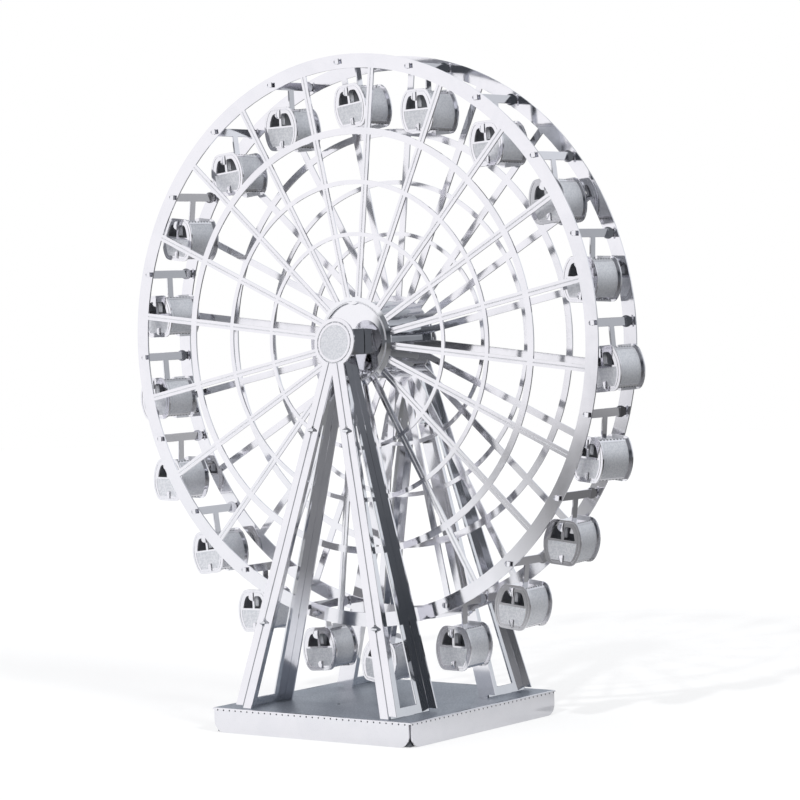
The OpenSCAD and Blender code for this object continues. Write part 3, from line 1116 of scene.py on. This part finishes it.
@dataclass
class Gondolas(Assembly):
    """Twenty cabins that hang on T-shaped hangers between the discs.

    Attributes:
        flat_w: width of the roof and of the floor.
        belly: how far below its middle a cabin is widest.
        lip: how far the end panels pass the barrel.
        groove: start and end of the line etched round an end panel, from its edge.
        corner_fade: the inset at which its round corners would be sharp.
        field: inset of the matt field, and its gap below the windows' sill.
        top_slit: left, right, lower and upper edge of the slit between the windows.
        petals: reach of each slit's tab, and its turn in degrees.
        petal: the tabs' root beyond the slit, and half of their thickness.
        petal_at: where the tabs lie, left of the slit and in front of the panel.
        neck: left, right and inner end of a tab's neck, from the slit and the panel.
        root: corners of the tab's root inside the cabin, with Y from the panel.
        side_on: a barrel face whose normal leans less than this along Y is one of its sides.
        fold_dots: how many dots lie along a fold, and their pitch.
        dot: half of a dot's width and length.
        taper: how far the stem's foot narrows, and over what height.
        tongue: length and half of the height of the bar's tongues.
        head_bend: the bend of a tongue's head, as distance from the disc and to the side.
        head: the head's height and thickness.
    """

    width: float = 6.8
    height: float = 7.5
    flat_w: float = 4.35
    belly: float = 0.15
    half: float = 3.8
    roof_drop: float = 4.15
    lip: float = 0.4
    bevel: float = 0.05
    groove: Point = (0.34, 0.54)
    slope: float = 0.04
    corner: float = 0.75
    corner_fade: float = 3.0
    window_inset: float = 1.1
    window_corner: float = 0.4
    sill: float = 0.45
    mullion: float = 0.42
    field: Point = (0.8, 0.3)
    whole_face: float = 1.0
    border: float = 0.42
    top_slit: tuple[float, float, float, float] = (-0.15, 0.13, 1.75, 3.25)
    foot_slit: tuple[float, float, float, float] = (0.25, 0.5, -3.3, -2.05)
    petals: tuple[Point, Point] = ((1.1, -13.0), (0.95, -16.0))
    petal: Point = (0.12, 0.1)
    petal_steps: int = 10
    petal_at: Point = (0.05, 0.08)
    petal_rounding: float = 0.05
    neck: tuple[float, float, float] = (-0.1, 0.02, 0.5)
    neck_inset: float = 0.1
    root: tuple[Axis, Axis] = ((-0.8, 1.1, 0.75), (0.3, 1.3, 3.2))
    side_on: float = 0.5
    fold_dots: tuple[int, float] = (8, 0.82)
    dot: Point = (0.13, 0.2)
    stem_w: float = 1.4
    bar_h: float = 1.4
    taper: Point = (0.3, 0.9)
    tongue: Point = (0.6, 0.3)
    play: float = 0.1
    head_bend: tuple[Point, ...] = ((0.03, 0.0), (0.15, 0.0), (0.27, 0.06), (0.36, 0.22), (0.38, 0.92))
    head: Point = (0.85, 0.2)
    shoulder_r: float = 1.0
    shoulder_twist: float = 38.0
    arc_steps: int = 14

    @property
    def middle_z(self) -> float:
        """Height of a cabin's middle over its pins."""
        return self.lip - self.roof_drop - self.height / 2

    def outline(self, inset: float, low: float = -1e3, high: float = 1e3) -> list[Point]:
        """The barrel's outline about its middle, drawn in by an inset.

        Args:
            inset: how far it is drawn in.
            low: lowest height that is kept.
            high: highest height that is kept.

        Returns:
            Its corners, in order.
        """
        sag = (self.width - self.flat_w) / 2
        r = (self.height ** 2 / 4 + sag ** 2) / (2 * sag)
        shift = r - self.width / 2
        bottom, top = max(-self.height / 2 + inset, low), min(self.height / 2 - inset, high)
        heights = [bottom + (top - bottom) * i / self.arc_steps for i in range(self.arc_steps + 1)]
        side = [(sqrt((r - inset) ** 2 - (z + self.belly) ** 2) - shift, z) for z in heights]
        return side + [(-x, z) for x, z in reversed(side)]

    def end_panel(self) -> Mesh:
        """The front end panel about the cabin's middle, with border, windows, slits and matt field."""
        front, back = -self.half, -self.half + SHEET.thick
        start, end = self.groove
        bed = front + SHEET.line_depth
        steps = [(end - self.slope, back), (0.0, back), (0.0, front + self.bevel), (self.bevel, front),
                 (start, front), (start + self.slope, bed), (end - self.slope, bed), (end, front)]
        ends = {0, self.arc_steps, self.arc_steps + 1, 2 * self.arc_steps + 1}
        rings = []
        for inset, y in steps:
            reach = self.corner * (1 - inset / self.corner_fade)
            rings.append([Vector((x, y, z)) for x, z in rounded(self.outline(inset), ends, reach)])
        mesh = self.bench.make("end_panel", [stacked(rings)], Finish.BRIGHT)
        through = (front - SHEET.overrun, back + SHEET.overrun)
        half = self.mullion / 2
        right = [(x, z) for x, z in self.outline(self.window_inset, low=self.sill) if x > half]
        right += [(half, right[-1][1]), (half, right[0][1])]
        right = rounded(right, {len(right) - 3, len(right) - 2}, self.window_corner)
        left = [(-x, z) for x, z in reversed(right)]
        inset, gap = self.field
        below = prism(self.outline(inset, high=self.sill - gap), through[0], front + SHEET.field_depth)
        slits = [block((x0, through[0], z0), (x1, through[1], z1))
                 for x0, x1, z0, z1 in (self.top_slit, self.foot_slit)]
        # Window walls and the panel's inner face get the inside steel, and slits the dark steel: painted
        # shade.
        for tools, finish in (([prism(right, *through), prism(left, *through)], Finish.INSIDE),
                              ([below], Finish.ETCHED), (slits, Finish.SHADED)):
            mesh = self.bench.cut(mesh, tools, finish)
        self.bench.paint(mesh, Finish.INSIDE,
                         lambda face: face.normal.y > SHEET.facing and face.area > self.whole_face)
        return mesh

    def panel_tabs(self) -> Mesh:
        """The two tabs folded over the front end panel, and the root of the upper one."""
        face = -self.half
        base, thick = self.petal
        left, right, inner = self.neck
        gap = self.neck_inset
        solids = []
        for (x0, x1, z0, z1), (reach, turn) in zip((self.top_slit, self.foot_slit), self.petals):
            tall, middle = (z1 - z0) / 2, (x0 + x1) / 2
            turns = (pi * i / self.petal_steps for i in range(self.petal_steps + 1))
            petal = [(-reach * sin(a), tall * cos(a)) for a in turns] + [(base, -tall), (base, tall)]
            place = Matrix.Translation((middle - self.petal_at[0], face - self.petal_at[1], (z0 + z1) / 2))
            solids.append(prism(petal, -thick, thick).moved(place @ spin(turn, "Z")))
            low = (middle + left, face - gap, z0 + gap)
            solids.append(block(low, (middle + right, face + inner, z1 - gap)))
        mesh = self.bench.make("petals", solids, Finish.BRIGHT)
        round_edges(mesh, self.petal_rounding, segments=2)
        root = block(*self.root).moved(Matrix.Translation((0, face, 0)))
        return joined("panel_tabs", [mesh, self.bench.make("root", [root], Finish.ETCHED)])

    def barrel(self) -> Mesh:
        """The rolled barrel about the cabin's middle, with matt sides and a row of dots at each fold."""
        ends = self.half - SHEET.thick
        outer, inner = self.outline(self.lip), self.outline(self.lip + SHEET.thick)
        rings = [[Vector((x, y, z)) for x, z in ring]
                 for ring, y in ((outer, -ends), (outer, ends), (inner, ends), (inner, -ends))]
        mesh = self.bench.make("barrel", [stacked(rings, closed=True)], Finish.BRIGHT)
        corner = self.height / 2 - self.lip - self.border
        inside, outside = (self.outline(self.lip + step, -corner, corner)
                           for step in (SHEET.field_depth, -SHEET.overrun))
        side = len(inside) // 2
        fields = [prism(inside[part] + outside[part][::-1], -ends + self.border, ends - self.border)
                  for part in (slice(0, side), slice(side, 2 * side))]
        mesh = self.bench.cut(mesh, fields, Finish.ETCHED)
        count, pitch = self.fold_dots
        wide, long = self.dot
        dots = [block((x - wide, y - long, z - wide), (x + wide, y + long, z + wide))
                for x, z in (outer[i] for i in (0, len(outer) // 2 - 1, len(outer) // 2, -1))
                for y in ((i - (count - 1) / 2) * pitch for i in range(count))]
        # The dots' walls get the dark steel: painted shade.
        mesh = self.bench.cut(mesh, dots, Finish.SHADED)

        def looks_in(polygon: MeshPolygon) -> bool:
            """Says whether a face looks into the cabin."""
            out = Vector((polygon.center.x, 0, polygon.center.z))
            return abs(polygon.normal.y) < self.side_on and polygon.normal.dot(out) < 0

        # Faces looking into the cabin get the darker inside steel: painted shade.
        self.bench.paint(mesh, Finish.INSIDE, looks_in)
        return mesh

    def cabin_mesh(self) -> Mesh:
        """One cabin, its pins on the Y axis."""
        ends = [self.end_panel(), self.panel_tabs()]
        back = [mesh.copy() for mesh in ends]
        for mesh in back:
            mesh.transform(spin(180, "Z"))
        whole = joined("cabin", ends + [self.barrel()] + back)
        whole.transform(Matrix.Translation((0, 0, self.middle_z)))
        self.bench.finish_mesh(whole)
        return whole

    def hanger_mesh(self) -> Mesh:
        """One hanger, its pins on the Y axis."""
        end, foot = self.layout.disc_in_y - self.play, -self.roof_drop
        stem, bar = self.stem_w / 2, self.bar_h / 2
        (narrow, tall), (reach, tab) = self.taper, self.tongue
        side = [(stem - narrow, foot - tall), (stem, foot), (stem, -bar), (end, -bar), (end, -tab),
                (end + reach, -tab), (end + reach, tab), (end, tab), (end, bar)]
        outline = side + [(-x, z) for x, z in reversed(side)]
        solids = [prism(outline, -SHEET.thick / 2, SHEET.thick / 2).moved(spin(90, "Z"))]
        solids += [self.bent_head(end) for end in End] + [self.shoulder()]
        mesh = self.bench.make("hanger", solids, Finish.BRIGHT)
        round_edges(mesh, SHEET.rounding)
        self.bench.finish_mesh(mesh)
        return mesh

    def bent_head(self, end: End) -> Solid:
        """The end of a hanger's tongue, bent flat outside the rim so that it can't slip out.

        Args:
            end: which end of the axle it is at.

        Returns:
            The solid.
        """
        path = [(self.layout.disc_out_y + out, aside) for out, aside in self.head_bend]
        head = strip(path, *self.head).moved(spin(90))
        return head.moved(spin(180, "X")) if end is End.FRONT else head

    def shoulder(self) -> Solid:
        """The round rear end of a hanger's bar, twisted a little inside the disc."""
        disc = prism(circle(self.shoulder_r, count=18), -SHEET.thick / 2, SHEET.thick / 2)
        centre = Matrix.Translation((0, self.layout.disc_in_y - self.shoulder_r, 0))
        return disc.moved(centre @ spin(90 - self.shoulder_twist, "Z"))

    def build(self) -> None:
        """Builds one mesh of each kind, and hangs every gondola from it."""
        cabin, hanger = self.cabin_mesh(), self.hanger_mesh()
        for body, (pin, tilt, turn) in self.layout.pins.items():
            place = Matrix.Translation(pin * METRES) @ Matrix.Rotation(tilt, 4, "Y")
            turned_place = place @ Matrix.Rotation(turn, 4, "Z")
            self.bench.place(body + "_shell", cabin, body, "cabin_steel", [body + "_cabin"], turned_place)
            self.bench.place(body + "_tee", hanger, body, "hanger_steel", [body + "_hanger"], place)


@dataclass(frozen=True)
class Studio:
    """The plain studio: pale floor, soft light, white background and the camera.

    A band is a value before and after a change, and the two places that the change runs between.

    Attributes:
        box_way: the way to the large bright box that the steel mirrors.
        box_side: the way to the side where the box ends.
        haze: the pale wall at the right, along X, Y and Z.
        wall: the pale wall on the left, along its way and Z.
        floor_near: how bright the steel sees the floor towards the box, painted into its colour as shade.
        floor_back: the same along Y, where the lightest counts.
        floor_pale: how pale the camera sees it, where shadows darken it.
        floor_glow: the paleness that shadows leave.
    """

    camera_at: Axis = (0.31339, -0.42460, 0.07759)
    yaw: float = 36.017
    pitch: float = 2.385
    roll: float = 1.498
    lens: float = 138.47
    sensor_w: float = 36.0
    clip: Point = (0.01, 20.0)
    box_way: Axis = (-0.594, -0.805, 0.0)
    across: Axis = (0.805, -0.594, 0.0)
    box_side: Axis = (0.805, -0.594, -0.74)
    left_way: Axis = (-0.594, 0.805, 0.0)
    box_front: Band = (0.0, 1.0, (-0.15, 0.45))
    box_end: Band = (1.0, 0.0, (0.08, 0.24))
    haze: tuple[Band, ...] = ((0.0, 1.0, (0.0, 0.4)), (0.0, 1.0, (-0.1, 0.3)), (0.42, 0.85, (0.06, 0.20)))
    wall: tuple[Band, ...] = ((0.0, 1.0, (0.35, 0.75)), (0.0, 0.85, (0.12, 0.17)))
    edge_glow: Band = (0.22, 0.0, (0.20, 0.36))
    high_glow: Band = (0.0, 0.20, (0.17, 0.27))
    low_glow: Band = (0.10, 0.0, (0.0, 0.18))
    dark: Colour = (0.030, 0.035, 0.042)
    pale: Colour = (0.97, 1.0, 1.05)
    box_colour: Colour = (1.04, 1.035, 1.06)
    white: Colour = (1.0, 1.0, 1.0)
    floor_r: float = 0.9
    floor_near: Band = (0.40, 0.82, (-0.10, 0.02))
    floor_sides: tuple[Band, ...] = ((1.0, 0.28, (0.034, 0.06)), (1.0, 0.4, (0.12, 0.30)))
    floor_back: tuple[Band, ...] = ((1.0, 0.35, (0.03, 0.15)), (0.0, 0.9, (0.22, 0.38)))
    floor_pale: float = 0.36
    floor_glow: float = 0.60

    def camera(self) -> None:
        """Sets the camera where the picture was taken from."""
        yaw, pitch, roll = (radians(a) for a in (self.yaw, self.pitch, self.roll))
        ahead = Vector((-sin(yaw) * cos(pitch), cos(yaw) * cos(pitch), -sin(pitch)))
        level = Vector((cos(yaw), sin(yaw), 0))
        down = ahead.cross(level)
        right = cos(roll) * level + sin(roll) * down
        up = sin(roll) * level - cos(roll) * down
        data = bpy.data.cameras.new("camera")
        data.lens, data.sensor_width = self.lens, self.sensor_w
        data.clip_start, data.clip_end = self.clip
        camera = new_object("camera", data)
        turn = Matrix((right, up, -ahead)).transposed().to_4x4()
        camera.matrix_world = Matrix.Translation(self.camera_at) @ turn
        bpy.context.scene.camera = camera

    def world(self) -> None:
        """Lights the world from a large bright box, with a white background."""
        world = bpy.data.worlds.new("studio")
        world.use_nodes = True
        bench = NodeBench(world.node_tree)
        way = bench.add("TexCoord").outputs["Generated"]
        ahead, aside, left = (bench.vector("DOT_PRODUCT", way, axis)
                              for axis in (self.box_way, self.box_side, self.left_way))
        x, y, height = bench.add("SeparateXYZ", {0: way}).outputs
        box, haze, wall = (
            bench.math("MULTIPLY", *(bench.spread(value, *band) for value, band in zip(values, bands)))
            for values, bands in (((aside, ahead), (self.box_end, self.box_front)),
                                  ((x, y, height), self.haze), ((left, height), self.wall)))
        glow = bench.math("MAXIMUM", haze, wall, bench.spread(aside, *self.edge_glow),
                          bench.spread(height, *self.high_glow), bench.spread(height, *self.low_glow))
        mirrored = bench.mix(box, bench.mix(glow, self.dark, self.pale), self.box_colour)
        seen = bench.add("LightPath").outputs["Is Camera Ray"]
        back = bench.add("Background", {"Color": bench.mix(seen, mirrored, self.white), "Strength": 1.0})
        bench.add("OutputWorld", {0: back.outputs[0]})
        bpy.context.scene.world = world

    def floor(self) -> None:
        """Lays a pale floor that fades into the white background. The camera sees it plain; the steel sees a
        colour painted darker away from the bright box, as painted shade.
        """
        ring = [Vector((x, y, 0)) for x, y in circle(self.floor_r, count=120)]
        mesh = bpy.data.meshes.new("floor")
        mesh.from_pydata(ring, [], [tuple(range(len(ring)))])
        floor = new_object("floor", mesh)
        material = bpy.data.materials.new("pale_floor")
        material.use_nodes = True
        bench = NodeBench(material.node_tree)
        where = bench.add("TexCoord").outputs["Object"]
        # The colour the steel sees is painted darker towards the sides and back, away from the box: painted
        # shade on the floor.
        near, across = (bench.vector("DOT_PRODUCT", where, axis) for axis in (self.box_way, self.across))
        depth = bench.add("SeparateXYZ", {0: where}).outputs["Y"]
        sides = [bench.spread(across, *band) for band in self.floor_sides]
        back = bench.math("MAXIMUM", *(bench.spread(depth, *band) for band in self.floor_back))
        level = bench.math("MULTIPLY", bench.spread(near, *self.floor_near), *sides, back)
        painted_shade_paper = bench.add("BsdfDiffuse", {"Color": level})
        pale = bench.add("BsdfDiffuse", {"Color": (*(self.floor_pale,) * 3, 1.0)})
        glow = bench.add("Emission", {"Color": (*self.white, 1.0), "Strength": self.floor_glow})
        lifted = bench.add("AddShader", {0: pale.outputs[0], 1: glow.outputs[0]})
        rays = bench.add("LightPath").outputs
        seen = bench.math("MAXIMUM", rays["Is Camera Ray"], rays["Is Transmission Ray"])
        both = bench.add("MixShader", {0: seen, 1: painted_shade_paper.outputs[0], 2: lifted.outputs[0]})
        bench.add("OutputMaterial", {0: both.outputs[0]})
        mesh.materials.append(material)

    def lamp(self, name: str, way: Axis, spread: float, strength: float) -> None:
        """Adds a soft distant lamp, seen by the floor and not mirrored in the steel.

        Args:
            name: its name.
            way: the direction that its light comes from.
            spread: its apparent size, in degrees.
            strength: its strength, in watts per square metre.
        """
        data = bpy.data.lights.new(name, "SUN")
        data.angle, data.energy = radians(spread), strength
        lamp = new_object(name, data)
        lamp.location = Vector(way)
        lamp.rotation_euler = Vector(way).to_track_quat("Z", "Y").to_euler()
        lamp.visible_glossy = False

    def build(self) -> None:
        """Builds the studio."""
        self.camera()
        self.world()
        self.floor()
        self.lamp("key_lamp", way=(0.17, -0.985, 0.65), spread=2.5, strength=1.6)
        self.lamp("side_lamp", way=(0.95, -0.30, 0.62), spread=14.0, strength=1.8)
        bpy.context.scene.view_settings.view_transform = "Standard"


def main() -> None:
    """Builds the studio and dresses every part of the object."""
    logging.basicConfig(level=logging.INFO, format="%(message)s")
    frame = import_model()
    Studio().build()
    layout = Layout(frame)
    bench = Bench(layout)
    for maker in (Tray, Supports, Wheel, Gondolas):
        maker(layout, bench).build()


if __name__ == "__main__":
    main()
